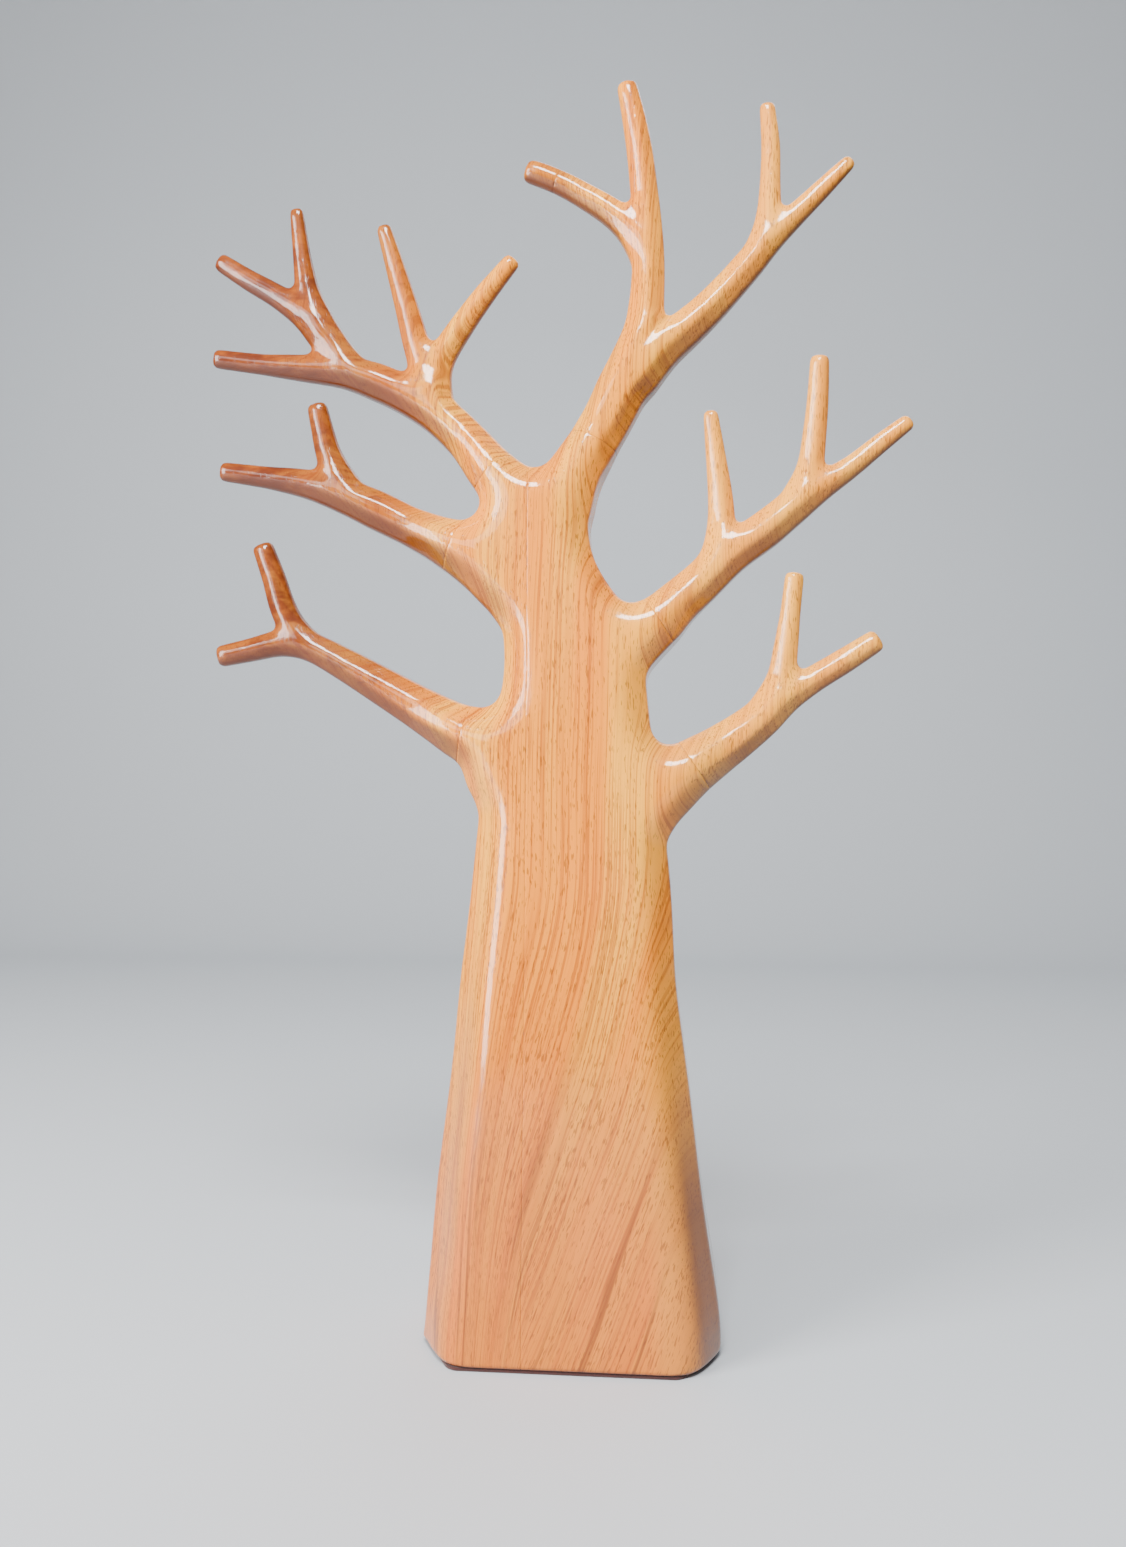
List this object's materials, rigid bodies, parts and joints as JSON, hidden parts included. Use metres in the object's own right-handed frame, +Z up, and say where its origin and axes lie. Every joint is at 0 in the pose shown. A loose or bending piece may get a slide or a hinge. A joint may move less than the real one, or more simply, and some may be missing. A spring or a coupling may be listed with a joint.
{
  "type": "carved wooden tree of life",
  "caption": "Free-standing varnished wooden tree with a broad tapered trunk and forked limbs, for display or for hanging jewellery.",
  "frame": {"origin": "centre of the flat underside of the foot", "axes": "+Z up the trunk, +X across the tree to the right as seen from the front, -Y towards the front face"},
  "size_m": [0.3106, 0.08, 0.5487],
  "materials": {
    "trunk_wood": "gloss varnish over orange tan wood with fine pores",
    "left_limb_wood": "gloss varnish over darker reddish brown wood",
    "right_limb_wood": "gloss varnish over pale pinkish orange wood",
    "dowel_wood": "plain hardwood, unfinished",
    "felt": "dark maroon felt"
  },
  "bodies": {
    "root": {"trunk_left_board": "trunk_wood", "trunk_right_board": "trunk_wood", "upper_left_limb": "left_limb_wood", "middle_left_limb": "left_limb_wood", "lower_left_limb": "left_limb_wood", "top_limb": "right_limb_wood", "middle_right_limb": "right_limb_wood", "lower_right_limb": "right_limb_wood", "mended_twig_tip": "right_limb_wood", "felt_pad": "felt", "tip_pin": "dowel_wood", "upper_left_limb_dowels": "dowel_wood", "middle_left_limb_dowels": "dowel_wood", "lower_left_limb_dowels": "dowel_wood", "top_limb_dowels": "dowel_wood", "middle_right_limb_dowels": "dowel_wood", "lower_right_limb_dowels": "dowel_wood"}
  },
  "joints": []
}
